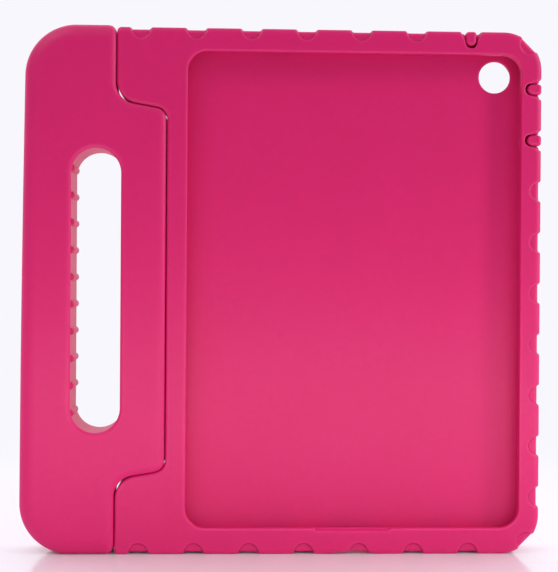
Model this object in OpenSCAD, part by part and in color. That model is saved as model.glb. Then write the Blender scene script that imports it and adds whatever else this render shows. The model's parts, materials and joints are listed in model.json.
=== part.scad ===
// Moulded foam case for a tablet, with a carry handle that folds back to make a stand.
// It stands on its lower short edge: X to the right, front towards -Y, Z up.
// The origin is at the middle of the base.

/* [Tablet] */
// Width of the tablet that the bay holds
tablet_w = 174.1; // [140:0.1:200]
// Height of the tablet
tablet_h = 250.6; // [205:0.1:305]
// Thickness of the tablet
tablet_t = 6.1; // [5:0.1:12]

/* [Foam body] */
// Room round the tablet on each side
bay_fit = 0.2; // [0.1:0.1:1]
// Thickness of the foam body, front to back
case_t = 26; // [22:0.5:36]
// Foam outside the bay on the side away from the handle
rim_side = 9.85; // [9.5:0.05:15]
// Foam above the bay
rim_top = 9.2; // [9:0.1:15]
// Foam below the bay
rim_bottom = 10.8; // [8.5:0.1:16]
// Foam between the bay and the handle's tongue
web_w = 9.7; // [8:0.1:14]
// Thickness of the lip in front of the tablet
lip_t = 4; // [3:0.5:6]
// How far the lip covers the tablet at its two long sides
lip_side = 0.8; // [0.6:0.1:3]
// How far the lip covers the tablet at its two short ends
lip_end = 2.8; // [1:0.1:5]
// Radius of the outer corners of the body
corner_r = 20; // [16:0.5:26]
// Radius of the window's corners
window_r = 10; // [6:0.5:14]
// Depth of the recess in the back panel
recess_t = 4; // [2:0.5:6]
// Foam left between the bay's outline and the recess
recess_border = 15; // [12:1:25]

/* [Bumper flutes] */
// Width of a flute
flute_w = 9.5; // [6:0.5:12]
// Depth of a flute
flute_d = 1.3; // [0.8:0.1:2]
// How far a flute reaches over the front and back faces
flute_reach = 5.6; // [5.2:0.1:7]
// Number of flutes on the long side
side_flutes = 9; // [5:1:11]
// Number of flutes on each short side
end_flutes = 7; // [5:1:9]
// From the top and bottom edges to the long side's end flutes
side_flute_start = 29.6; // [27:0.1:40]
// From the long side to the nearest flute of the short sides
end_flute_start = 37; // [32:1:44]

/* [Press pads] */
// Width of a press pad
pad_w = 5.6; // [4:0.2:6.6]
// Depth of a press pad, from the outer face inwards
pad_depth = 7.4; // [5:0.1:7.6]
// How far a press pad moves in
pad_travel = 1; // [0.5:0.1:1.2]
// Room round a press pad
pad_gap = 0.3; // [0.3:0.05:0.5]
// Radius of the nub that touches the tablet's own button
nub_r = 1.5; // [1:0.1:2]

/* [Handle] */
// Width of the grip, from its outer edge to the seam
grip_w = 48.25; // [46:0.25:70]
// Thickness of the handle, front to back
handle_t = 30; // [28:0.5:36]
// How much higher than the body the handle stands
handle_rise = 1; // [0:0.5:3]
// Radius of the handle's outer corners
handle_r = 26; // [20:1:32]
// Width of the finger slot
slot_w = 25.4; // [22:0.1:32]
// Height of the finger slot
slot_h = 145.8; // [110:0.1:170]
// Foam between the grip's outer edge and the finger slot
slot_side = 26; // [22:0.5:30]
// Number of finger ribs in the slot
ribs = 10; // [4:1:12]
// Distance from one finger rib to the next
rib_pitch = 14; // [9:0.1:14.5]
// Height of a finger rib
rib_h = 1.6; // [1:0.1:2.5]

/* [Hinge] */
// Gap between the foam of the body and the foam of the handle
seam_gap = 0.6; // [0.5:0.1:1.2]
// From the body's back face to the hinge axis
axis_from_back = 9; // [8.5:0.1:9.5]
// From the hinge axis to the side of an ear
ear_reach = 12.2; // [11.5:0.1:13]
// From the hinge axis to the side of the tongue
tongue_reach = 13; // [12.4:0.1:13.5]
// Length of the upper ear, from the top of the body to the seam at the hinge axis
ear_l = 39.7; // [38:0.1:50]
// Slope of the seam across an ear
seam_slope = 10; // [6:1:12]
// Radius of an ear's corner
ear_r = 9.6; // [8:0.1:11]
// Radius where the tongue's end turns into its side
tongue_r = 4.5; // [3:0.5:5]
// Radius of a hinge pin
pin_r = 3; // [2:0.1:3.8]
// Running clearance of a pin in its socket and in the friction washer
pin_fit = 0.05; // [0.02:0.01:0.1]
// Radius of the friction washer
washer_r = 6.4; // [5.5:0.1:7]
// Radius of the flange on a socket or a hub
flange_r = 7.4; // [6.5:0.1:7.6]
// Radius of the barrel of a socket or a hub
barrel_r = 5.4; // [4.5:0.1:6]
// Length of the barrel of a socket or a hub
barrel_l = 22; // [14:1:24]

/* [Cut-outs] */
// Radius of the camera hole at the tablet
camera_r = 8; // [5:0.5:9]
// From the bay's two sides to the middle of the camera hole
camera_inset = 13; // [11:0.5:16]
// Width of the charging port
port_w = 21; // [14:0.5:28]
// Depth of the charging port, front to back
port_t = 8; // [6:0.5:10]
// Width of the scoop in the base that the charging port opens into
scoop_w = 23; // [22:0.5:40]
// Depth of that scoop
scoop_d = 1.2; // [0.8:0.1:2]
// Radius of the headphone hole
jack_r = 4.5; // [3:0.5:5]
// From the bay's handle side to the headphone hole
jack_inset = 15; // [12:1:20]
// Width of a speaker slot
speaker_w = 24; // [14:1:30]
// Depth of a speaker slot, front to back
speaker_t = 3; // [2:0.5:4]
// From the middle of the tablet to the middle of a speaker slot
speaker_x = 42; // [36:1:50]
// Width of the thumb relief in the lip, over the home button
thumb_w = 37; // [20:1:60]

/* [Hidden] */
$fn = 64;

past = 1;               // how far a cutter runs past the face that it cuts
arc_steps = 12;         // flat steps in a quarter of an outline's corner
bay_w = tablet_w + 2 * bay_fit;
bay_h = tablet_h + 2 * bay_fit;
bay_t = tablet_t + 2 * bay_fit;
case_h = bay_h + rim_top + rim_bottom;
bay_top = case_h - rim_top;
handle_h = case_h + handle_rise;

// Places along X, worked out from the side away from the handle
total_w = rim_side + bay_w + web_w + tongue_reach + ear_reach + 2 * seam_gap + grip_w;
right_x = total_w / 2;
bay_right = right_x - rim_side;
bay_left = bay_right - bay_w;
bay_mid = (bay_left + bay_right) / 2;
web_left = bay_left - web_w;
hinge_x = web_left - seam_gap - tongue_reach;
ear_left = hinge_x - ear_reach;
shoulder_x = ear_left - seam_gap;
grip_left = shoulder_x - grip_w;

// Places along Y
case_front = -case_t / 2;
case_back = case_t / 2;
bay_front = case_front + lip_t;
bay_floor = bay_front + bay_t;
tablet_y = (bay_front + bay_floor) / 2;
handle_back = handle_t / 2;
hinge_y = case_back - axis_from_back;

// The seam, measured from the hinge axis and from the upper ear's end there
seam_z = case_h - ear_l;
tongue_drop = seam_gap / cos(seam_slope);
shoulder_r = ear_r - 0.8;   // the gap opens a little round the ear's corner
web_r = tongue_r + seam_gap;
ear_ease = 0.03;            // the turned cut's start beyond the ear's corner, so that it crosses it
ear_level = (ear_reach - ear_r + ear_r * sin(seam_slope)) * tan(seam_slope);
tongue_level = -tongue_drop - (tongue_reach - tongue_r * (1 - sin(seam_slope))) * tan(seam_slope);
shoulder_back_r = 5;        // rounding of the shoulder, so that it clears the body when folded
web_back_r = 4;             // rounding of the web's back edge, for the same reason
web_stop = 0.3;             // how far short of the ears that rounding ends
pocket_r = washer_r + 0.5;

// Flutes and pads
side_pitch = (case_h - 2 * side_flute_start) / (side_flutes - 1);
end_pitch = (right_x - end_flute_start - hinge_x) / (end_flutes - 1);
volume_up_z = case_h - side_flute_start;
volume_down_z = volume_up_z - side_pitch;
power_x = right_x - end_flute_start;
pad_back = tablet_y + 7.2;
scoop_r = (scoop_w * scoop_w / 4 + scoop_d * scoop_d) / (2 * scoop_d);

foam = "#d2266c";
inner_plastic = "#2b2b2e";
pin_steel = "#a9acb0";
washer_nylon = "#dedad0";

// Points on an arc round c from angle a0 to angle a1
function arc(c, r, a0, a1, n = arc_steps) =
    [for (i = [0:n]) let (a = a0 + (a1 - a0) * i / n) c + r * [cos(a), sin(a)]];

// The seam's line under an ear, lowered by drop, at dx from the hinge axis
function seam_line(dx, drop) = -drop - dx * tan(seam_slope);

// The seam from an ear's side, round its corner, along its end and down the web
function seam(left, right, r_left, r_right, drop) = concat(
    arc([left + r_left, seam_line(left + r_left, drop) + r_left / cos(seam_slope)],
        r_left, 180, 270 - seam_slope),
    arc([right - r_right, seam_line(right - r_right, drop) - r_right / cos(seam_slope)],
        r_right, 90 - seam_slope, 0));

function ear_seam() = seam(-ear_reach, tongue_reach + seam_gap, ear_r, web_r, 0);
function tongue_seam() =
    seam(-ear_reach - seam_gap, tongue_reach, shoulder_r, tongue_r, tongue_drop);

// A seam moved to its place at the top, and the same turned over at the bottom
function at_top(points) = [for (p = points) [hinge_x + p.x, seam_z + p.y]];
function at_bottom(points) =
    [for (i = [len(points) - 1:-1:0]) [hinge_x + points[i].x, handle_h - seam_z - points[i].y]];

// An X-Z outline made solid between two depths
module along_y(y0, y1) {
    translate([0, y1, 0])
        rotate([90, 0, 0])
            linear_extrude(height = y1 - y0)
                children();
}

module box(low, high) {
    translate(low)
        cube(high - low);
}

// A rectangle with round corners, in X-Z
module round_box(x0, z0, x1, z1, r) {
    polygon(concat(
        arc([x1 - r, z1 - r], r, 90, 0),
        arc([x1 - r, z0 + r], r, 0, -90),
        arc([x0 + r, z0 + r], r, 270, 180),
        arc([x0 + r, z1 - r], r, 180, 90)));
}

// Places its children at the upper hinge
module at_upper_hinge() {
    translate([hinge_x, hinge_y, seam_z])
        children();
}

// Its children, turned over about the middle of the handle's height
module turned_over() {
    translate([0, 0, handle_h])
        mirror([0, 0, 1])
            children();
}

module at_both_hinges() {
    at_upper_hinge()
        children();
    turned_over()
        at_upper_hinge()
            children();
}

// ---- The foam body ----

module case_outline() {
    polygon(concat(
        [[ear_left, case_h]],
        arc([right_x - corner_r, case_h - corner_r], corner_r, 90, 0),
        arc([right_x - corner_r, corner_r], corner_r, 0, -90),
        [[ear_left, 0]],
        at_bottom([for (i = [len(ear_seam()) - 1:-1:0]) ear_seam()[i]]),
        at_top([for (i = [len(ear_seam()) - 1:-1:0]) ear_seam()[i]])));
}

// One flute: a shallow channel across the edge, round-ended on the front and back faces
module flute() {
    box([-flute_d, case_front - past, -flute_w / 2], [past, case_back + past, flute_w / 2]);
    for (y = [case_front, case_back])
        translate([flute_w / 2 - flute_reach, y, 0])
            rotate([90, 0, 0])
                cylinder(r = flute_w / 2, h = 2 * flute_d * 0.8, center = true);
}

module all_flutes() {
    for (i = [0:side_flutes - 1])
        translate([right_x, 0, side_flute_start + i * side_pitch])
            flute();
    for (i = [0:end_flutes - 1], end = [0, 1])
        translate([power_x - i * end_pitch, 0, end * case_h])
            rotate([0, end == 1 ? -90 : 90, 0])
                flute();
    for (end = [0, 1])
        translate([right_x - corner_r, 0, end == 1 ? case_h - corner_r : corner_r])
            rotate([0, end == 1 ? -45 : 45, 0])
                translate([corner_r, 0, 0])
                    flute();
}

// What folding the handle needs cut from an ear, behind the hinge axis
module ear_relief() {
    // The end of the ear, flat behind the axis
    box([-ear_reach - past, 0, -ear_l / 2], [tongue_reach + seam_gap, case_t, ear_level]);
    // The corner, turned about the axis
    rotate([0, 0, 70])
        rotate_extrude(angle = 110)
            polygon(concat(
                [[0, -ear_r], [0, ear_level]],
                [for (i = [arc_steps:-1:0]) [ear_ease - ear_seam()[i].x, ear_seam()[i].y]],
                [[ear_reach + 2 * past, ear_seam()[0].y], [ear_reach + 2 * past, -ear_r]]));
    // The recess that the friction washer turns in
    translate([0, 0, -ear_r])
        cylinder(r = pocket_r, h = ear_r + ear_level);
}

// The ear's side, rounded about the hinge axis behind it
module ear_back_round() {
    translate([hinge_x, hinge_y, -past])
        linear_extrude(height = case_h + 2 * past)
            difference() {
                translate([-ear_reach - past, 0])
                    square([ear_reach + past, case_t]);
                circle(r = ear_reach);
            }
}

module web_back_round() {
    translate([web_left, case_back, handle_h - seam_z - ear_level + web_stop])
        linear_extrude(height = 2 * (seam_z + ear_level - web_stop) - handle_h)
            difference() {
                translate([-past, -web_back_r])
                    square([web_back_r + past, web_back_r + past]);
                translate([web_back_r, -web_back_r])
                    circle(r = web_back_r);
            }
}

module tablet_bay() {
    box([bay_left, bay_front, rim_bottom], [bay_right, bay_floor, bay_top]);
    along_y(case_front - past, bay_front + past)
        round_box(bay_left + lip_side, rim_bottom + lip_end,
                  bay_right - lip_side, bay_top - lip_end, window_r);
}

module cut_outs() {
    // Camera, wider at the back so that the foam stays out of its view
    translate([bay_right - camera_inset, bay_floor - past, bay_top - camera_inset])
        rotate([-90, 0, 0])
            cylinder(r1 = camera_r, r2 = camera_r + 4, h = case_back - bay_floor + 2 * past);
    // Charging port and the shallow scoop that it opens into
    box([bay_mid - port_w / 2, tablet_y - port_t / 2, -past],
        [bay_mid + port_w / 2, tablet_y + port_t / 2, rim_bottom + past]);
    translate([bay_mid, 0, scoop_d - scoop_r])
        rotate([90, 0, 0])
            cylinder(r = scoop_r, h = case_t + 2 * past, center = true, $fn = 256);
    // Headphone hole
    translate([bay_left + jack_inset, tablet_y, bay_top - past])
        cylinder(r = jack_r, h = rim_top + 2 * past);
    // Speaker slots, two at each end
    for (side = [-1, 1], z = [-past, bay_top - past])
        translate([bay_mid + side * speaker_x - speaker_w / 2, tablet_y - speaker_t / 2, z])
            cube([speaker_w, speaker_t, max(rim_top, rim_bottom) + 2 * past]);
    // Thumb relief in the lip, over the tablet's home button
    translate([bay_mid, case_front, rim_bottom + lip_end])
        rotate([0, 90, 0])
            cylinder(r = lip_end / 2, h = thumb_w, center = true);
    // Recess that leaves the rim standing proud of the back panel
    along_y(case_back - recess_t, case_back + past)
        round_box(bay_left + recess_border, rim_bottom + recess_border,
                  bay_right - recess_border, bay_top - recess_border, window_r);
}

module case_foam() {
    color(foam)
        difference() {
            along_y(case_front, case_back)
                case_outline();
            tablet_bay();
            cut_outs();
            ear_back_round();
            web_back_round();
            all_flutes();
            pad_places()
                pad_pocket();
            at_both_hinges() {
                ear_relief();
                socket_outside();
            }
        }
}

// ---- The press pads, drawn with the outer face at X = 0 and outwards along +X ----

// A bar with a round inner end, made wider all round by grow and longer by more
module pad_profile(grow, more) {
    polygon(concat(
        [[past * min(1, more), pad_w / 2 + grow]],
        arc([pad_w / 2 - pad_depth - more, 0], pad_w / 2 + grow, 90, 270),
        [[past * min(1, more), -pad_w / 2 - grow]]));
}

module pad_pocket() {
    along_y(case_front - past, pad_back + pad_gap)
        pad_profile(pad_gap, pad_travel);
    translate([-rim_side - past, tablet_y, 0])
        rotate([0, 90, 0])
            cylinder(r = nub_r + pad_gap, h = rim_side + past - pad_depth);
}

module pad(rim) {
    color(foam)
        union() {
            along_y(case_front, pad_back)
                pad_profile(0, 0);
            translate([0.3 - rim, tablet_y, 0])
                rotate([0, 90, 0])
                    cylinder(r = nub_r, h = rim - pad_depth + 1);
        }
}

module at_volume_up() {
    translate([right_x, 0, volume_up_z])
        children();
}

module at_volume_down() {
    translate([right_x, 0, volume_down_z])
        children();
}

module at_power() {
    translate([power_x, 0, case_h])
        rotate([0, -90, 0])
            children();
}

module pad_places() {
    at_volume_up()
        children();
    at_volume_down()
        children();
    at_power()
        children();
}

module volume_up_pad() {
    at_volume_up()
        pad(rim_side);
}

module volume_down_pad() {
    at_volume_down()
        pad(rim_side);
}

module power_pad() {
    at_power()
        pad(rim_top);
}

// ---- The handle: a grip with a finger slot, and a tongue between the body's two ears ----

module handle_outline() {
    polygon(concat(
        [[shoulder_x, 0]],
        arc([grip_left + handle_r, handle_r], handle_r, 270, 180),
        arc([grip_left + handle_r, handle_h - handle_r], handle_r, 180, 90),
        [[shoulder_x, handle_h]],
        at_top(tongue_seam()),
        at_bottom(tongue_seam())));
}

module finger_slot() {
    left = grip_left + slot_side;
    middle = case_h / 2;
    difference() {
        round_box(left, middle - slot_h / 2, left + slot_w, middle + slot_h / 2, slot_w / 2 - 0.01);
        for (i = [0:ribs - 1])
            translate([left - 2 + rib_h, middle + (i - (ribs - 1) / 2) * rib_pitch])
                circle(r = 2);
    }
}

// What folding needs cut from the tongue's end, behind the hinge axis
module tongue_relief() {
    box([-ear_reach - seam_gap, 0, tongue_level], [tongue_reach + past, handle_t, ear_l / 2]);
    rotate_extrude(angle = 112)
        polygon(concat(
            [for (i = [arc_steps + 1:2 * arc_steps + 1]) tongue_seam()[i]],
            [[tongue_reach + past, tongue_seam()[2 * arc_steps + 1].y],
             [tongue_reach + past, tongue_level + past],
             [tongue_seam()[arc_steps + 1].x, tongue_level + past]]));
    // Room for the flange of the socket above
    translate([0, 0, tongue_level])
        cylinder(r = flange_r + seam_gap, h = ear_r);
}

// The tongue's side, rounded about the hinge axis behind it
module tongue_back_round() {
    translate([hinge_x, hinge_y, -past])
        linear_extrude(height = handle_h + 2 * past)
            difference() {
                square([tongue_reach + past, handle_t]);
                circle(r = tongue_reach);
            }
}

module shoulder_back_round() {
    translate([-ear_reach - seam_gap, handle_back - hinge_y, tongue_level])
        linear_extrude(height = ear_l + handle_rise + 4 * past)
            difference() {
                translate([-shoulder_back_r, -shoulder_back_r])
                    square(shoulder_back_r + past);
                translate([-shoulder_back_r, -shoulder_back_r])
                    circle(r = shoulder_back_r);
            }
}

module handle_foam() {
    color(foam)
        difference() {
            along_y(-handle_t / 2, handle_back)
                handle_outline();
            along_y(-handle_t / 2 - past, handle_back + past)
                finger_slot();
            tongue_back_round();
            at_both_hinges() {
                tongue_relief();
                shoulder_back_round();
                hub_outside();
            }
        }
}

// ---- The hinge hardware, drawn at the upper hinge ----

// A flanged barrel with four fins that key it into the foam, standing on Z = 0
module keyed_barrel() {
    cylinder(r = flange_r, h = 2);
    cylinder(r = barrel_r, h = barrel_l);
    for (turn = [45, 135])
        rotate([0, 0, turn])
            translate([-flange_r, -0.7, 1])
                cube([2 * flange_r, 1.4, barrel_l - 4]);
}

module socket_outside() {
    translate([0, 0, ear_level])
        keyed_barrel();
}

module hub_outside() {
    translate([0, 0, tongue_level])
        mirror([0, 0, 1])
            keyed_barrel();
}

// Glued into an ear: the pin turns in it
module socket() {
    color(inner_plastic)
        difference() {
            socket_outside();
            translate([0, 0, ear_level - past])
                cylinder(r = pin_r + pin_fit, h = barrel_l - 1);
        }
}

// Moulded into the tongue: it holds the pin fast
module hub() {
    color(inner_plastic)
        difference() {
            hub_outside();
            translate([0, 0, tongue_level - barrel_l + 2])
                cylinder(r = pin_r, h = barrel_l);
        }
}

module pin() {
    low = tongue_level - barrel_l + 2;
    high = ear_level + barrel_l - 3;
    color(pin_steel)
        union() {
            translate([0, 0, low])
                cylinder(r = pin_r, h = high - low - 0.8);
            translate([0, 0, high - 0.8])
                cylinder(r1 = pin_r, r2 = pin_r - 0.8, h = 0.8);
        }
}

// A stiff nylon ring squeezed between the flanges, whose drag holds the handle where it is put
module washer() {
    low = tongue_level + 0.3;
    color(washer_nylon)
        difference() {
            translate([0, 0, low])
                cylinder(r = washer_r, h = ear_level - low);
            translate([0, 0, low - past])
                cylinder(r = pin_r + pin_fit, h = ear_level - low + 2 * past);
        }
}

module hinge_socket_top() {
    at_upper_hinge()
        socket();
}

module hinge_socket_bottom() {
    turned_over()
        at_upper_hinge()
            socket();
}

module hinge_hub_top() {
    at_upper_hinge()
        hub();
}

module hinge_hub_bottom() {
    turned_over()
        at_upper_hinge()
            hub();
}

module hinge_pin_top() {
    at_upper_hinge()
        pin();
}

module hinge_pin_bottom() {
    turned_over()
        at_upper_hinge()
            pin();
}

module friction_washer_top() {
    at_upper_hinge()
        washer();
}

module friction_washer_bottom() {
    turned_over()
        at_upper_hinge()
            washer();
}

case_foam();
handle_foam();
hinge_socket_top();
hinge_socket_bottom();
hinge_hub_top();
hinge_hub_bottom();
hinge_pin_top();
hinge_pin_bottom();
friction_washer_top();
friction_washer_bottom();
volume_up_pad();
volume_down_pad();
power_pad();
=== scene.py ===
import json
import math

import bpy
import numpy as np
from mathutils import Matrix, Vector


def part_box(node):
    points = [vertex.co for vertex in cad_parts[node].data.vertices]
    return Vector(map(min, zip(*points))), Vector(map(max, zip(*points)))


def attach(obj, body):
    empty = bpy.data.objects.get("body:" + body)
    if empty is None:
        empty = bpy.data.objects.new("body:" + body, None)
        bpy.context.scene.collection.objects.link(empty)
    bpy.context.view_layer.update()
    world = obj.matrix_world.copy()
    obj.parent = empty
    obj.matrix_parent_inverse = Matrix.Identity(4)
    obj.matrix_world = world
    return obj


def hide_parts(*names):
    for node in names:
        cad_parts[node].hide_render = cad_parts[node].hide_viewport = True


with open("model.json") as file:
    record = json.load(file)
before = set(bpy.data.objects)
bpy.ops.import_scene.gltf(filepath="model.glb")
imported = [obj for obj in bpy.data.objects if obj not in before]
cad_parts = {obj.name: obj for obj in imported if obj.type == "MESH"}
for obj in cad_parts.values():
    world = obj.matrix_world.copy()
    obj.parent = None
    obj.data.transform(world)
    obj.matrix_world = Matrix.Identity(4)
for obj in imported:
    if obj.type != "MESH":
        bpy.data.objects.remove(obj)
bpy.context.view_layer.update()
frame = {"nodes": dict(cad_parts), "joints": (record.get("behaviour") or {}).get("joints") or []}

scene = bpy.context.scene
scene.view_settings.view_transform = "Standard"

# ---- Camera ----
# It faces the front from two thirds of a metre away, level with the middle of the case and turned
# a little to one side, with a long lens.
aim = Vector((0.0, 0.0, 0.1355))
aim_seen_at = Vector((0.0011, 0.681, -0.0029))     # right, ahead and above, as the camera sees it
yaw, pitch, roll = (math.radians(angle) for angle in (2.35, 0.33, 0.39))
turn = Matrix.Rotation(roll, 3, "Y") @ Matrix.Rotation(pitch, 3, "X") @ Matrix.Rotation(yaw, 3, "Z")
turn_back = turn.transposed()
camera = bpy.data.objects.new("camera", bpy.data.cameras.new("camera"))
camera.data.lens = 81.6
camera.data.clip_start = 0.01
camera.matrix_world = (Matrix.Translation(aim - turn_back @ aim_seen_at)
                       @ (turn_back @ Matrix.Rotation(math.radians(90), 3, "X")).to_4x4())
scene.collection.objects.link(camera)
scene.camera = camera

# ---- Foam body ----
# One moulding of closed-cell EVA foam, with a skin where it met the mould. It holds the tablet in
# a bay behind a thin lip, and its two ears carry the handle. Every edge is rounded by the mould.
MM = 0.001


def box_mm(node):
    """A CAD node's lowest and highest corners, in millimetres."""
    return (np.array(corner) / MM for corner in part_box(node))


case_low, case_high = box_mm("case_foam")
handle_low, handle_high = box_mm("handle_foam")
fold = next(joint for joint in frame["joints"] if joint["name"] == "handle_fold")
hinge_x, hinge_y = (place / MM for place in fold["pos_m"][:2])

ear_left, case_front, _ = case_low
right_x, case_back, case_h = case_high
handle_h = handle_high[2]
grip_left, handle_front, _ = handle_low
tongue_right, handle_back, _ = handle_high

seam_gap = 0.6
seam_slope = math.radians(10)
ear_l = 39.7
ear_r = 9.6
tongue_r = 4.5
web_r = tongue_r + seam_gap
web_left = tongue_right + seam_gap
ear_reach = hinge_x - ear_left
tongue_reach = tongue_right - hinge_x
seam_z = case_h - ear_l
ear_level = (ear_reach - ear_r + ear_r * math.sin(seam_slope)) * math.tan(seam_slope)
tongue_level = (-seam_gap / math.cos(seam_slope)
                - (tongue_reach - tongue_r * (1 - math.sin(seam_slope))) * math.tan(seam_slope))

corner_r = 20
rim_edge_r, rim_edge_depth = 3.2, 1.8
seam_edge_r, web_back_r, seam_step_r, seam_crease_r = 2.2, 4.5, 0.6, 0.4
window_edge_r, bay_edge_r, recess_edge_r = 1.2, 0.3, 1.2
camera_edge_r, thumb_edge_r, scoop_edge_r, opening_edge_r = 0.8, 0.8, 1.0, 0.6
flute_edge_r, pocket_edge_r = 0.9, 0.9
overrun = 1     # how far a cut runs on past the wall that it opens
rim_side, rim_top, rim_bottom = 9.85, 9.2, 10.8
tablet_w, tablet_t = 174.5, 6.5     # with the room round the tablet
lip_t, lip_side, lip_end = 4.0, 0.8, 2.8
window_r = 10
bay_right = right_x - rim_side
bay_left = bay_right - tablet_w
bay_mid = (bay_left + bay_right) / 2
bay_top = case_h - rim_top
bay_front = case_front + lip_t
bay_floor = bay_front + tablet_t
tablet_y = (bay_front + bay_floor) / 2
recess_t, recess_border = 4, 15

camera_hole_r, camera_hole_flare, camera_inset = 8, 4, 13
port_w, port_t, scoop_w, scoop_d = 21, 8, 23, 1.2
scoop_r = (scoop_w ** 2 / 4 + scoop_d ** 2) / (2 * scoop_d)
jack_r, jack_inset = 4.5, 15
speaker_w, speaker_t, speaker_x = 24, 3, 42
thumb_w = 37

flute_w, flute_d, flute_face_d, flute_reach = 9.5, 1.0, 1.05, 5.6
side_flutes, side_flute_start = 9, 29.6
end_flutes, end_flute_start = 7, 37
side_flute_pitch = (case_h - 2 * side_flute_start) / (side_flutes - 1)
power_x = right_x - end_flute_start
end_flute_pitch = (power_x - hinge_x) / (end_flutes - 1)

pad_w, pad_depth, nub_r = 5.6, 7.4, 1.5
pad_travel, pad_gap = 1, 0.3
pad_behind_tablet = 7.2
pad_back = tablet_y + pad_behind_tablet
volume_up_z = case_h - side_flute_start
volume_down_z = volume_up_z - side_flute_pitch

flange_r, flange_t, barrel_r, barrel_l, washer_pocket_r = 7.4, 2, 5.4, 22, 6.9


def meet(a, b, r):
    """Where two solids overlap, with the edge between their faces rounded to radius r."""
    return np.minimum(-r, np.maximum(a, b)) + np.hypot(np.maximum(a + r, 0), np.maximum(b + r, 0))


def join(a, b, r):
    """Two solids together, with the inner corner between them filled to radius r."""
    return -meet(-a, -b, r)


def cut(a, b, r):
    """Solid a less solid b, with the rim of the cut rounded to radius r."""
    return meet(a, -b, r)


def pillow(outline, faces, width, depth):
    """A slab whose edge falls away over a wide margin of its faces, but a shallow depth."""
    return meet(outline, faces * width / depth, width)


def between(v, low, high):
    return np.abs(v - (low + high) / 2) - (high - low) / 2


def above_seam(z):
    """Height above the upper seam, or depth below the lower one, which mirrors it."""
    return np.abs(z - handle_h / 2) + handle_h / 2 - seam_z


def body_side(x, y, z):
    """The body's side towards the handle: the web with an ear at each end."""
    dx, dy, up = x - hinge_x, y - hinge_y, above_seam(z)
    below_slope = (-dx * math.tan(seam_slope) - up) * math.cos(seam_slope)
    ear = meet(-dx - ear_reach, below_slope, ear_r)
    in_front = join(web_left - x, ear, web_r)
    turned_ear = meet(np.hypot(np.minimum(dx, 0), dy) - ear_reach, ear_level - up, ear_r)
    web = meet(web_left - x, y - case_back, web_back_r)
    behind = join(web, turned_ear, seam_crease_r)
    return meet(in_front, join(dy, behind, seam_crease_r), seam_step_r)


def hinge_sockets(x, y, z):
    """What the sockets and washers take from the ears."""
    radius, up = np.hypot(x - hinge_x, y - hinge_y), above_seam(z)
    barrel = np.maximum(radius - barrel_r, up - ear_level - barrel_l)
    flange = np.maximum(radius - flange_r, up - ear_level - flange_t)
    washer = np.maximum(radius - washer_pocket_r, up - ear_level)
    solid = np.minimum(np.minimum(barrel, np.maximum(flange, ear_level - up - 0.1)), washer)
    return np.maximum(solid, -ear_r - up)


def flute_rows(x, z):
    """For each row of flutes: how far the nearest flute's middle is, and how far in the edge."""
    def from_nearest(v, first, pitch, count):
        return v - first - pitch * np.clip(np.round((v - first) / pitch), 0, count - 1)
    yield from_nearest(z, side_flute_start, side_flute_pitch, side_flutes), right_x - x
    along_end = from_nearest(x, hinge_x, end_flute_pitch, end_flutes)
    yield along_end, case_h - z
    yield along_end, z
    for corner_z, up in ((case_h - corner_r, 1), (corner_r, -1)):
        out_x = (x - right_x + corner_r) * math.sqrt(0.5)
        out_z = (z - corner_z) * up * math.sqrt(0.5)
        yield out_x - out_z, corner_r - out_x - out_z


def flutes(x, y, z):
    """Shallow channels across the edge, which end in half rounds on the front and back faces."""
    deep = case_back - np.abs(y)
    every = None
    for along, inwards in flute_rows(x, z):
        side = meet(np.abs(along) - flute_w / 2, inwards - flute_d, 0.2)
        ends = np.hypot(np.maximum(inwards - flute_reach + flute_w / 2, 0), along) - flute_w / 2
        face = meet(ends, deep - flute_face_d, 0.2)
        flute = join(side, face, 2.0)
        every = flute if every is None else np.minimum(every, flute)
    return every


def pad_places(x, z):
    """For each press pad: how far in from the outer face, and to the side of the pad's middle."""
    return {"volume_up": (right_x - x, z - volume_up_z),
            "volume_down": (right_x - x, z - volume_down_z),
            "power": (case_h - z, x - power_x)}


def pad_bar(inwards, aside, depth, grow):
    return np.hypot(np.maximum(inwards - depth + pad_w / 2, 0), aside) - pad_w / 2 - grow


def pad_pockets(x, y, z):
    every = None
    for inwards, aside in pad_places(x, z).values():
        bar = meet(pad_bar(inwards, aside, pad_depth + pad_travel, pad_gap),
                   y - pad_back - pad_gap, 0.3)
        nub = np.maximum(np.hypot(aside, y - tablet_y) - nub_r - pad_gap,
                         inwards - rim_side - overrun)
        pocket = np.minimum(bar, nub)
        every = pocket if every is None else np.minimum(every, pocket)
    return every


def end_openings(x, y, z):
    """Charging port, headphone hole and speaker slots, through the rim into the bay."""
    port = meet(between(x, bay_mid - port_w / 2, bay_mid + port_w / 2),
                between(y, tablet_y - port_t / 2, tablet_y + port_t / 2), 1.5)
    at_base = z - rim_bottom - overrun
    at_top = bay_top - overrun - z
    jack = np.hypot(x - bay_left - jack_inset, y - tablet_y) - jack_r
    speakers = meet(between(np.abs(x - bay_mid), speaker_x - speaker_w / 2,
                            speaker_x + speaker_w / 2),
                    between(y, tablet_y - speaker_t / 2, tablet_y + speaker_t / 2), 1.2)
    openings = np.minimum(np.maximum(port, at_base), np.maximum(jack, at_top))
    return np.minimum(openings, np.maximum(speakers, np.minimum(at_base, at_top)))


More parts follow.
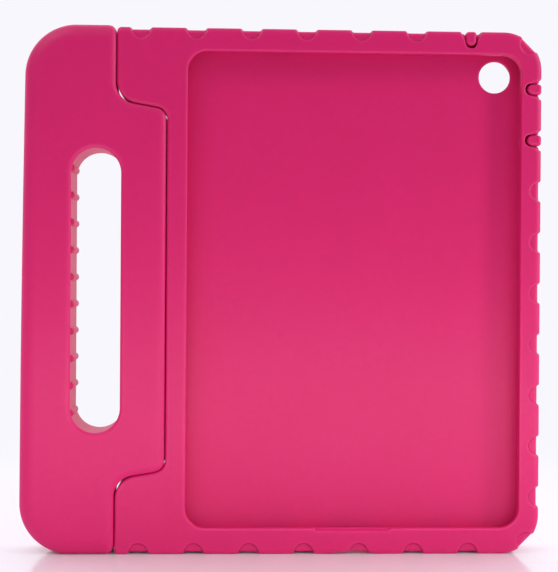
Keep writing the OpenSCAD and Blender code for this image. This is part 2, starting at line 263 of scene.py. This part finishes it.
def foam_body(x, y, z):
    outline = meet(x - right_x, between(z, 0, case_h), corner_r)
    block = pillow(outline, between(y, case_front, case_back), rim_edge_r, rim_edge_depth)
    body = meet(block, body_side(x, y, z), seam_edge_r)
    window = meet(between(x, bay_left + lip_side, bay_right - lip_side),
                  between(z, rim_bottom + lip_end, bay_top - lip_end), window_r)
    body = cut(body, np.maximum(window, y - bay_front - overrun), window_edge_r)
    bay = meet(meet(between(x, bay_left, bay_right), between(z, rim_bottom, bay_top), 2),
               between(y, bay_front, bay_floor), 0.4)
    body = cut(body, bay, bay_edge_r)
    recess = meet(between(x, bay_left + recess_border, bay_right - recess_border),
                  between(z, rim_bottom + recess_border, bay_top - recess_border), window_r)
    body = cut(body, meet(recess, case_back - recess_t - y, 1.5), recess_edge_r)
    camera_cone = (np.hypot(x - bay_right + camera_inset, z - bay_top + camera_inset)
                   - camera_hole_r
                   - camera_hole_flare * (y - bay_floor) / (case_back - bay_floor)) * 0.96
    body = cut(body, camera_cone, camera_edge_r)
    thumb = np.hypot(np.hypot(y - case_front, z - rim_bottom - lip_end),
                     np.maximum(np.abs(x - bay_mid) - thumb_w / 2, 0)) - lip_end / 2
    body = cut(body, thumb, thumb_edge_r)
    scoop = np.hypot(x - bay_mid, z - scoop_d + scoop_r) - scoop_r
    body = cut(body, scoop, scoop_edge_r)
    body = cut(body, end_openings(x, y, z), opening_edge_r)
    body = cut(body, flutes(x, y, z), flute_edge_r)
    body = cut(body, pad_pockets(x, y, z), pocket_edge_r)
    return np.maximum(body, -hinge_sockets(x, y, z))


def slope_of(shape, points, step=0.02):
    """How shape changes along X, Y and Z at each point, and how sharply its surface bends there."""
    here = shape(*points.T)
    slope, bend = np.zeros_like(points), -6 * here
    for axis in range(3):
        moved = points.copy()
        moved[:, axis] += step
        ahead = shape(*moved.T)
        moved[:, axis] -= 2 * step
        behind = shape(*moved.T)
        slope[:, axis] = (ahead - behind) / (2 * step)
        bend += ahead + behind
    return here, slope, bend / step ** 2


def cell_net(shape, low, high, pitch):
    """Points and four-sided faces that wrap shape's surface, one point in each cell it crosses."""
    before, after = 1.4 * pitch, 2.4 * pitch    # spare cells round the box, off its own faces
    lines = [np.arange(low[axis] - before, high[axis] + after, pitch) for axis in range(3)]
    value = shape(*np.ix_(*lines)).astype(np.float32)
    inside = value < 0
    corners = [(i, j, k) for i in (0, 1) for j in (0, 1) for k in (0, 1)]
    size = np.array(value.shape)
    filled = sum(inside[tuple(slice(c, c + n - 1) for c, n in zip(corner, size))]
                 .astype(np.uint8) for corner in corners)
    crossed = (filled > 0) & (filled < 8)
    cells = np.argwhere(crossed)
    number = np.full(crossed.shape, -1, np.int32)
    number[crossed] = np.arange(len(cells))
    total, hits = np.zeros(cells.shape), np.zeros(len(cells))
    for corner in corners:
        for axis in range(3):
            if corner[axis]:
                continue
            start = cells + corner
            end = start.copy()
            end[:, axis] += 1
            first, last = value[tuple(start.T)], value[tuple(end.T)]
            through = (first < 0) != (last < 0)
            point = np.tile(np.array(corner, float), (len(cells), 1))
            point[through, axis] = first[through] / (first[through] - last[through])
            total += point * through[:, None]
            hits += through
    points = (cells + total / hits[:, None]) * pitch + np.array([line[0] for line in lines])
    faces = []
    for axis in range(3):
        flip = np.diff(inside, axis=axis)
        edges = np.argwhere(flip)
        u, v = (axis + 1) % 3, (axis + 2) % 3
        ring = []
        for back_u, back_v in ((0, 0), (1, 0), (1, 1), (0, 1)):
            cell = edges.copy()
            cell[:, u] -= back_u
            cell[:, v] -= back_v
            ring.append(number[tuple(cell.T)])
        quads = np.stack(ring, 1)
        outwards = inside[tuple(edges.T)]
        faces.append(np.where(outwards[:, None], quads, quads[:, ::-1]))
    return points, np.concatenate(faces)


def skin(name, shape, low, high, pitch, share):
    """A finished moulding: a closed mesh over shape's surface, thinned to a share of its faces, the
    flat ones first, with true normals and a value that tells edges from creases."""
    settling_steps, edge_width = 3, 0.5
    points, faces = cell_net(shape, low, high, pitch)
    for _ in range(settling_steps):
        here, slope, _ = slope_of(shape, points)
        move = slope * (here / np.maximum((slope ** 2).sum(1), 0.05))[:, None]
        points -= np.clip(move, -0.5 * pitch, 0.5 * pitch)
    mesh = bpy.data.meshes.new(name)
    mesh.vertices.add(len(points))
    mesh.vertices.foreach_set("co", (points * MM).astype(np.float32).ravel())
    mesh.loops.add(faces.size)
    mesh.loops.foreach_set("vertex_index", faces.ravel())
    mesh.polygons.add(len(faces))
    mesh.polygons.foreach_set("loop_start", np.arange(0, faces.size, 4))
    mesh.update(calc_edges=True)
    full = bpy.data.objects.new(name + "_full", mesh)
    scene.collection.objects.link(full)
    full.modifiers.new("merge_flats", "DECIMATE").ratio = share
    graph = bpy.context.evaluated_depsgraph_get()
    mesh = bpy.data.meshes.new_from_object(full.evaluated_get(graph))
    bpy.data.objects.remove(full)
    place = np.zeros(len(mesh.vertices) * 3, np.float32)
    mesh.vertices.foreach_get("co", place)
    _, slope, _ = slope_of(shape, place.reshape(-1, 3) / MM)
    _, _, bend = slope_of(shape, place.reshape(-1, 3) / MM, step=edge_width)
    normals = slope / np.maximum(np.linalg.norm(slope, axis=1), 1e-6)[:, None]
    mesh.shade_smooth()
    mesh.normals_split_custom_set_from_vertices(normals.tolist())
    edge = mesh.attributes.new("edge", "FLOAT", "POINT")
    edge.data.foreach_set("value", np.clip(bend, -1, 1).astype(np.float32))
    moulding = bpy.data.objects.new(name, mesh)
    scene.collection.objects.link(moulding)
    return moulding


def linear(hex_colour):
    """An sRGB hex colour as linear red, green, blue and alpha."""
    parts = [int(hex_colour[i:i + 2], 16) / 255 for i in (1, 3, 5)]
    return [p / 12.92 if p <= 0.04045 else ((p + 0.055) / 1.055) ** 2.4 for p in parts] + [1.0]


def add_node(tree, kind, settings=None, values=None, links=None):
    """Adds a node to a tree, with its settings, its input values and the sockets that feed it."""
    node = tree.nodes.new(kind)
    for key, value in (settings or {}).items():
        setattr(node, key, value)
    for key, value in (values or {}).items():
        node.inputs[key].default_value = value
    for key, socket in (links or {}).items():
        tree.links.new(socket, node.inputs[key])
    return node


def new_material(name):
    """An empty material, its tree and its output."""
    material = bpy.data.materials.new(name)
    material.use_nodes = True
    material.node_tree.nodes.clear()
    return material, material.node_tree, material.node_tree.nodes.new("ShaderNodeOutputMaterial")


def moulded_eva_foam():
    """Moulded EVA foam: a strong pink with a satin skin, whose fine grain breaks up the light. The
    colour is a little uneven. Rounded edges are painted paler, a painted highlight, and are rubbed
    a little smoother; creases are painted a deeper pink, a painted shade. The grain is drawn about
    1 mm wide, coarser than the real skin's, so that it shows."""
    material, tree, output = new_material("moulded_eva_foam_pink")
    place = add_node(tree, "ShaderNodeTexCoord").outputs["Object"]
    cloud = add_node(tree, "ShaderNodeTexNoise",
                     values={"Scale": 22, "Detail": 3, "Roughness": 0.55},
                     links={"Vector": place}).outputs["Fac"]
    mottle = add_node(tree, "ShaderNodeTexNoise",
                      values={"Scale": 260, "Detail": 4, "Roughness": 0.6},
                      links={"Vector": place}).outputs["Fac"]
    grain = add_node(tree, "ShaderNodeTexNoise",
                     values={"Scale": 900, "Detail": 3, "Roughness": 0.6},
                     links={"Vector": place}).outputs["Fac"]
    edge = add_node(tree, "ShaderNodeAttribute", {"attribute_name": "edge"}).outputs["Fac"]
    uneven = add_node(tree, "ShaderNodeMixRGB",
                      values={"Color1": linear("#d81067"), "Color2": linear("#e0146e")},
                      links={"Fac": cloud}).outputs["Color"]
    speckled = add_node(tree, "ShaderNodeMapRange",
                        values={"From Min": 0.35, "From Max": 0.75, "To Max": 0.22},
                        links={"Value": mottle}).outputs["Result"]
    speckle = add_node(tree, "ShaderNodeMixRGB", values={"Color2": linear("#cc0e60")},
                       links={"Fac": speckled, "Color1": uneven}).outputs["Color"]
    # Painted highlight: convex rounded edges are painted a paler pink. The same mask also makes
    # them a little smoother, as rubbed.
    edge_sheen_and_rub = add_node(tree, "ShaderNodeMapRange",
                       values={"From Min": 0.05, "From Max": 0.7, "To Max": 0.3},
                       links={"Value": edge}).outputs["Result"]
    painted_edge_highlight = add_node(tree, "ShaderNodeMixRGB", values={"Color2": linear("#e83680")},
                     links={"Fac": edge_sheen_and_rub, "Color1": speckle}).outputs["Color"]
    # Painted shade: concave creases and inner corners are painted a darker pink.
    crease_shade_mask = add_node(tree, "ShaderNodeMapRange",
                       values={"From Min": -0.1, "From Max": -0.9, "To Max": 0.5},
                       links={"Value": edge}).outputs["Result"]
    painted_crease_shade = add_node(tree, "ShaderNodeMixRGB", values={"Color2": linear("#a80d44")},
                      links={"Fac": crease_shade_mask, "Color1": painted_edge_highlight}).outputs["Color"]
    sheen = add_node(tree, "ShaderNodeMapRange", values={"To Min": 0.40, "To Max": 0.56},
                     links={"Value": mottle}).outputs["Result"]
    rubbed = add_node(tree, "ShaderNodeMath", {"operation": "MULTIPLY"}, {1: -0.25},
                      {0: edge_sheen_and_rub}).outputs["Value"]
    roughness = add_node(tree, "ShaderNodeMath", {"operation": "ADD"}, links={0: sheen, 1: rubbed})
    peel = add_node(tree, "ShaderNodeBump", values={"Strength": 0.12, "Distance": 0.0002},
                    links={"Height": mottle})
    skin_grain = add_node(tree, "ShaderNodeBump", values={"Strength": 0.25, "Distance": 0.0001},
                          links={"Height": grain, "Normal": peel.outputs["Normal"]})
    surface = add_node(tree, "ShaderNodeBsdfPrincipled",
                       values={"IOR": 1.48, "Specular IOR Level": 0.42, "Subsurface Weight": 0.2,
                               "Subsurface Radius": (1.0, 0.2, 0.3), "Subsurface Scale": 0.003},
                       links={"Base Color": painted_crease_shade, "Roughness": roughness.outputs["Value"],
                              "Normal": skin_grain.outputs["Normal"]})
    tree.links.new(surface.outputs["BSDF"], output.inputs["Surface"])
    return material


foam = moulded_eva_foam()
body = skin("foam_body", foam_body, case_low, case_high, pitch=0.7, share=0.3)
body.data.materials.append(foam)
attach(body, "case")
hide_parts("case_foam")

# ---- Foam handle ----
# A second moulding of the same foam. Its grip is fuller than the body and rounded like a cushion.
# Its outer side leans in a little towards the top, and its tongue sits between the ears.
handle_edge_r, handle_edge_depth = 9, 5.0
handle_seam_edge_r, shoulder_back_r = 4, 5.5
handle_corner_r = 26
grip_lean = 2.3
tongue_fit = 0.2     # how much fuller the tongue's side is than the gap alone would leave it
slot_w, slot_h, slot_side = 25.4, 145.8, 26
slot_left = grip_left + slot_side
slot_edge_r = 2.4
shoulder_x = ear_left - seam_gap
shoulder_r = ear_r - 0.8


def tongue_side(x, y, z):
    """The handle's side towards the body: the shoulders, and the tongue between them."""
    dx, dy, up = x - hinge_x, y - hinge_y, above_seam(z)
    over_slope = (up + dx * math.tan(seam_slope)) * math.cos(seam_slope) + seam_gap
    tongue = meet(dx - tongue_reach, over_slope, tongue_r) - tongue_fit
    in_front = join(x - shoulder_x - tongue_fit, tongue, shoulder_r)
    turned_tongue = meet(np.hypot(np.maximum(dx, 0), dy) - tongue_reach, up - tongue_level,
                         tongue_r)
    shoulder = meet(x - shoulder_x, y - handle_back, shoulder_back_r)
    behind = join(shoulder, turned_tongue, seam_crease_r)
    return meet(in_front, join(dy, behind, seam_crease_r), seam_step_r)


def hinge_hubs(x, y, z):
    """What the hubs, the sockets' flanges and the washers take from the tongue."""
    radius, up = np.hypot(x - hinge_x, y - hinge_y), above_seam(z)
    barrel = np.maximum(radius - barrel_r, tongue_level - barrel_l - up)
    flange = np.maximum(radius - flange_r, tongue_level - flange_t - up)
    room = np.maximum(radius - flange_r - seam_gap, tongue_level - up)
    return np.maximum(np.minimum(np.minimum(barrel, flange), room), up - ear_r)


def foam_handle(x, y, z):
    grip_side = grip_left + grip_lean * (z / handle_h) ** 2
    outline = meet(grip_side - x, between(z, 0, handle_h), handle_corner_r)
    block = pillow(outline, between(y, handle_front, handle_back), handle_edge_r, handle_edge_depth)
    handle = meet(block, tongue_side(x, y, z), handle_seam_edge_r)
    slot_run = (slot_h - slot_w) / 2
    slot = np.hypot(x - slot_left - slot_w / 2,
                    np.maximum(np.abs(z - case_h / 2) - slot_run, 0)) - slot_w / 2
    handle = cut(handle, slot, slot_edge_r)
    return np.maximum(handle, -hinge_hubs(x, y, z))


handle = skin("foam_handle", foam_handle, handle_low, handle_high, pitch=0.7, share=0.3)
handle.data.materials.append(foam)
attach(handle, "handle")
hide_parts("handle_foam")

# ---- Finger ribs ----
# A row of low ridges moulded along the outer wall of the finger slot, one for each finger's grip.
# They repeat at one pitch, so a small node tree lays them out along the wall.
rib_count, rib_pitch, rib_radius, rib_height = 10, 14.0, 2.0, 1.6


def rib_tree():
    """Ridges along Z: a stretched ball at each point of a line, joined into one mesh."""
    tree = bpy.data.node_groups.new("finger_ribs", "GeometryNodeTree")
    tree.interface.new_socket("Geometry", in_out="OUTPUT", socket_type="NodeSocketGeometry")
    sockets = {}
    for label, kind in (("Count", "NodeSocketInt"), ("Pitch", "NodeSocketFloat"),
                        ("Radius", "NodeSocketFloat"), ("Half length", "NodeSocketFloat"),
                        ("Start", "NodeSocketVector"), ("Material", "NodeSocketMaterial")):
        socket = tree.interface.new_socket(label, in_out="INPUT", socket_type=kind)
        sockets[label] = socket.identifier
    given = add_node(tree, "NodeGroupInput").outputs
    step = add_node(tree, "ShaderNodeCombineXYZ", links={"Z": given["Pitch"]})
    line = add_node(tree, "GeometryNodeMeshLine",
                    links={"Count": given["Count"], "Start Location": given["Start"],
                           "Offset": step.outputs["Vector"]})
    ball = add_node(tree, "GeometryNodeMeshUVSphere", values={"Segments": 28, "Rings": 20},
                    links={"Radius": given["Radius"]})
    position = add_node(tree, "GeometryNodeInputPosition").outputs["Position"]
    height = add_node(tree, "ShaderNodeSeparateXYZ", links={"Vector": position})
    end = add_node(tree, "ShaderNodeMath", {"operation": "SIGN"}, links={0: height.outputs["Z"]})
    reach = add_node(tree, "ShaderNodeMath", {"operation": "MULTIPLY"},
                     links={0: end.outputs["Value"], 1: given["Half length"]})
    stretch = add_node(tree, "ShaderNodeCombineXYZ", links={"Z": reach.outputs["Value"]})
    ridge = add_node(tree, "GeometryNodeSetPosition",
                     links={"Geometry": ball.outputs["Mesh"], "Offset": stretch.outputs["Vector"]})
    copies = add_node(tree, "GeometryNodeInstanceOnPoints",
                      values={"Rotation": (math.radians(90), 0, 0)},
                      links={"Points": line.outputs["Mesh"],
                             "Instance": ridge.outputs["Geometry"]})
    whole = add_node(tree, "GeometryNodeRealizeInstances",
                     links={"Geometry": copies.outputs["Instances"]})
    smooth = add_node(tree, "GeometryNodeSetShadeSmooth",
                      links={"Geometry": whole.outputs["Geometry"]})
    finished = add_node(tree, "GeometryNodeSetMaterial",
                        links={"Geometry": smooth.outputs["Geometry"],
                               "Material": given["Material"]})
    add_node(tree, "NodeGroupOutput", links={"Geometry": finished.outputs["Geometry"]})
    return tree, sockets


def grown(name, tree, sockets, inputs):
    """The mesh that a node tree makes with these inputs, as a plain object."""
    seed = bpy.data.objects.new(name + "_seed", bpy.data.meshes.new(name + "_seed"))
    scene.collection.objects.link(seed)
    modifier = seed.modifiers.new("grow", "NODES")
    modifier.node_group = tree
    for label, value in inputs.items():
        modifier[sockets[label]] = value
    bpy.context.view_layer.update()
    graph = bpy.context.evaluated_depsgraph_get()
    mesh = bpy.data.meshes.new_from_object(seed.evaluated_get(graph))
    bpy.data.objects.remove(seed)
    piece = bpy.data.objects.new(name, mesh)
    scene.collection.objects.link(piece)
    return piece


tree, sockets = rib_tree()
first_rib = case_h / 2 - rib_pitch * (rib_count - 1) / 2
rib_half = (handle_back - handle_front) / 2 - slot_edge_r - rib_radius
ribs = grown("finger_ribs", tree, sockets, {
    "Count": rib_count, "Pitch": rib_pitch * MM, "Radius": rib_radius * MM,
    "Half length": rib_half * MM, "Material": foam,
    "Start": [(slot_left + rib_height - rib_radius) * MM, 0.0, first_rib * MM]})
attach(ribs, "handle")

# ---- Press pads ----
# Short foam bars set in the flutes over the tablet's volume and power buttons. Each has a nub on
# its inner side that reaches through the rim to the button.
pad_edge_r, nub_root_r = 1.7, 0.3


def press_pad(which, rim):
    def shape(x, y, z):
        inwards, aside = pad_places(x, z)[which]
        bar = meet(pad_bar(inwards, aside, pad_depth, 0), between(y, case_front, pad_back),
                   pad_edge_r)
        bar = meet(bar, -inwards, pad_edge_r)
        nub = np.maximum(np.hypot(aside, y - tablet_y) - nub_r,
                         between(inwards, pad_depth - overrun, rim - pad_gap))
        return join(bar, nub, nub_root_r)
    return shape


for which, rim in (("volume_up", rim_side), ("volume_down", rim_side), ("power", rim_top)):
    low, high = box_mm(which + "_pad")
    pad = skin(which + "_press_pad", press_pad(which, rim), low, high, pitch=0.3, share=0.6)
    pad.data.materials.append(foam)
    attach(pad, which)
    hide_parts(which + "_pad")

# ---- Hinge hardware ----
# Black nylon sockets and hubs, moulded with a dull texture, turn on drawn steel pins, with a ring
# of uncoloured nylon between them that gives the drag.


def moulded_nylon(name, dark, light, gloss):
    """Injection-moulded nylon: a dull, slightly cloudy surface with a fine spark-eroded texture."""
    material, tree, output = new_material(name)
    place = add_node(tree, "ShaderNodeTexCoord").outputs["Object"]
    texture = add_node(tree, "ShaderNodeTexNoise", values={"Scale": 1800, "Detail": 3},
                       links={"Vector": place})
    cloud = add_node(tree, "ShaderNodeTexNoise", values={"Scale": 120, "Detail": 2},
                     links={"Vector": place})
    colour = add_node(tree, "ShaderNodeMixRGB",
                      values={"Color1": linear(dark), "Color2": linear(light)},
                      links={"Fac": cloud.outputs["Fac"]})
    dullness = add_node(tree, "ShaderNodeMapRange",
                        values={"To Min": gloss, "To Max": gloss + 0.15},
                        links={"Value": texture.outputs["Fac"]})
    bump = add_node(tree, "ShaderNodeBump", values={"Strength": 0.2, "Distance": 0.00005},
                    links={"Height": texture.outputs["Fac"]})
    surface = add_node(tree, "ShaderNodeBsdfPrincipled", values={"IOR": 1.53},
                       links={"Base Color": colour.outputs["Color"],
                              "Roughness": dullness.outputs["Result"],
                              "Normal": bump.outputs["Normal"]})
    tree.links.new(surface.outputs["BSDF"], output.inputs["Surface"])
    return material


def drawn_steel():
    """Drawn steel rod: bright metal with fine lines along its length."""
    material, tree, output = new_material("drawn_steel")
    place = add_node(tree, "ShaderNodeTexCoord").outputs["Object"]
    stretched = add_node(tree, "ShaderNodeMapping", values={"Scale": (1, 1, 0.02)},
                         links={"Vector": place})
    lines = add_node(tree, "ShaderNodeTexNoise", values={"Scale": 4000, "Detail": 3},
                     links={"Vector": stretched.outputs["Vector"]})
    colour = add_node(tree, "ShaderNodeMixRGB",
                      values={"Color1": linear("#8f9296"), "Color2": linear("#b9bcc0")},
                      links={"Fac": lines.outputs["Fac"]})
    polish = add_node(tree, "ShaderNodeMapRange", values={"To Min": 0.22, "To Max": 0.42},
                      links={"Value": lines.outputs["Fac"]})
    bump = add_node(tree, "ShaderNodeBump", values={"Strength": 0.15, "Distance": 0.00002},
                    links={"Height": lines.outputs["Fac"]})
    surface = add_node(tree, "ShaderNodeBsdfPrincipled", values={"Metallic": 1.0},
                       links={"Base Color": colour.outputs["Color"],
                              "Roughness": polish.outputs["Result"],
                              "Normal": bump.outputs["Normal"]})
    tree.links.new(surface.outputs["BSDF"], output.inputs["Surface"])
    return material


finishes = {
    "hinge_socket": moulded_nylon("moulded_black_nylon", "#232326", "#2f2f33", 0.45),
    "hinge_pin": drawn_steel(),
    "friction_washer": moulded_nylon("uncoloured_nylon", "#d8d3c6", "#e6e2d8", 0.38),
}
finishes["hinge_hub"] = finishes["hinge_socket"]
for part, finish in finishes.items():
    for end in ("top", "bottom"):
        node = frame["nodes"][part + "_" + end]
        node.data.materials.clear()
        node.data.materials.append(finish)

# ---- Floor and light ----
# A pale polished table top that sweeps up into the backdrop, a bright ceiling, a low light in front
# that lifts the lower half, and a soft light at each side that picks out the rounded edges.
backdrop_white = linear("#f8f7fd")


def polished_table():
    """Pale polished acrylic: nearly white, with a clear reflection near what stands on it. It
    melts into the backdrop further off, like a sweep of paper."""
    material, tree, output = new_material("polished_pale_acrylic")
    place = add_node(tree, "ShaderNodeTexCoord").outputs["Object"]
    haze = add_node(tree, "ShaderNodeTexNoise", values={"Scale": 35, "Detail": 2},
                    links={"Vector": place})
    polish = add_node(tree, "ShaderNodeMapRange", values={"To Min": 0.10, "To Max": 0.16},
                      links={"Value": haze.outputs["Fac"]})
    surface = add_node(tree, "ShaderNodeBsdfPrincipled",
                       values={"Base Color": linear("#f5f4fb"), "IOR": 1.40},
                       links={"Roughness": polish.outputs["Result"]})
    paper = add_node(tree, "ShaderNodeEmission", values={"Color": backdrop_white, "Strength": 1.0})
    distance = add_node(tree, "ShaderNodeVectorMath", {"operation": "LENGTH"}, links={0: place})
    far = add_node(tree, "ShaderNodeMapRange", {"interpolation_type": "SMOOTHSTEP"},
                   {"From Min": 0.17, "From Max": 0.5}, {"Value": distance.outputs["Value"]})
    blend = add_node(tree, "ShaderNodeMixShader", links={"Fac": far.outputs["Result"],
                                                         1: surface.outputs["BSDF"],
                                                         2: paper.outputs["Emission"]})
    tree.links.new(blend.outputs["Shader"], output.inputs["Surface"])
    return material


floor_mesh = bpy.data.meshes.new("table_top")
reach = 6.0
floor_corners = [(-reach, -reach, 0), (reach, -reach, 0), (reach, reach, 0), (-reach, reach, 0)]
floor_mesh.from_pydata(floor_corners, [], [(0, 1, 2, 3)])
floor_mesh.materials.append(polished_table())
floor = bpy.data.objects.new("table_top", floor_mesh)
scene.collection.objects.link(floor)

world = bpy.data.worlds.new("studio")
world.use_nodes = True
world.node_tree.nodes.clear()
sky = world.node_tree
outwards = add_node(sky, "ShaderNodeTexCoord").outputs["Generated"]
direction = add_node(sky, "ShaderNodeSeparateXYZ", links={"Vector": outwards}).outputs
overhead = add_node(sky, "ShaderNodeMapRange", {"interpolation_type": "SMOOTHSTEP"},
                    {"From Min": 0.15, "From Max": 0.85, "To Max": 0.42}, {"Value": direction["Z"]})
around = add_node(sky, "ShaderNodeMapRange", {"interpolation_type": "SMOOTHSTEP"},
                  {"From Min": -0.5, "From Max": 0.4, "To Min": 0.08, "To Max": 1.15},
                  {"Value": direction["Y"]})
glow = add_node(sky, "ShaderNodeMath", {"operation": "ADD"},
                links={0: overhead.outputs["Result"], 1: around.outputs["Result"]})
seen = add_node(sky, "ShaderNodeLightPath").outputs["Is Camera Ray"]
strength = add_node(sky, "ShaderNodeMix", values={"B": 1.0},
                    links={"Factor": seen, "A": glow.outputs["Value"]})
surroundings = add_node(sky, "ShaderNodeBackground", values={"Color": backdrop_white},
                        links={"Strength": strength.outputs["Result"]})
add_node(sky, "ShaderNodeOutputWorld", links={"Surface": surroundings.outputs["Background"]})
scene.world = world


def soft_light(name, place, target, width, height, watts, spread=180):
    """A rectangular lamp at place, turned to shine at target. It isn't seen by the camera."""
    light = bpy.data.lights.new(name, "AREA")
    light.shape = "RECTANGLE"
    light.size, light.size_y, light.energy = width, height, watts
    light.spread = math.radians(spread)
    lamp = bpy.data.objects.new(name, light)
    lamp.location = place
    lamp.rotation_euler = (Vector(target) - Vector(place)).to_track_quat("-Z", "Y").to_euler()
    lamp.visible_camera = False
    scene.collection.objects.link(lamp)


soft_light("low_softbox", place=(0.06, -0.22, 0.06), target=(0.05, 0, 0.05),
           width=0.6, height=0.05, watts=0.14, spread=110)
soft_light("right_softbox", place=(0.75, -0.4, 0.42), target=(0, 0, 0.14),
           width=0.15, height=0.7, watts=2.4)
soft_light("left_softbox", place=(-0.5, -0.5, 0.9), target=(-0.08, 0, 0.2),
           width=0.3, height=0.3, watts=1.5)
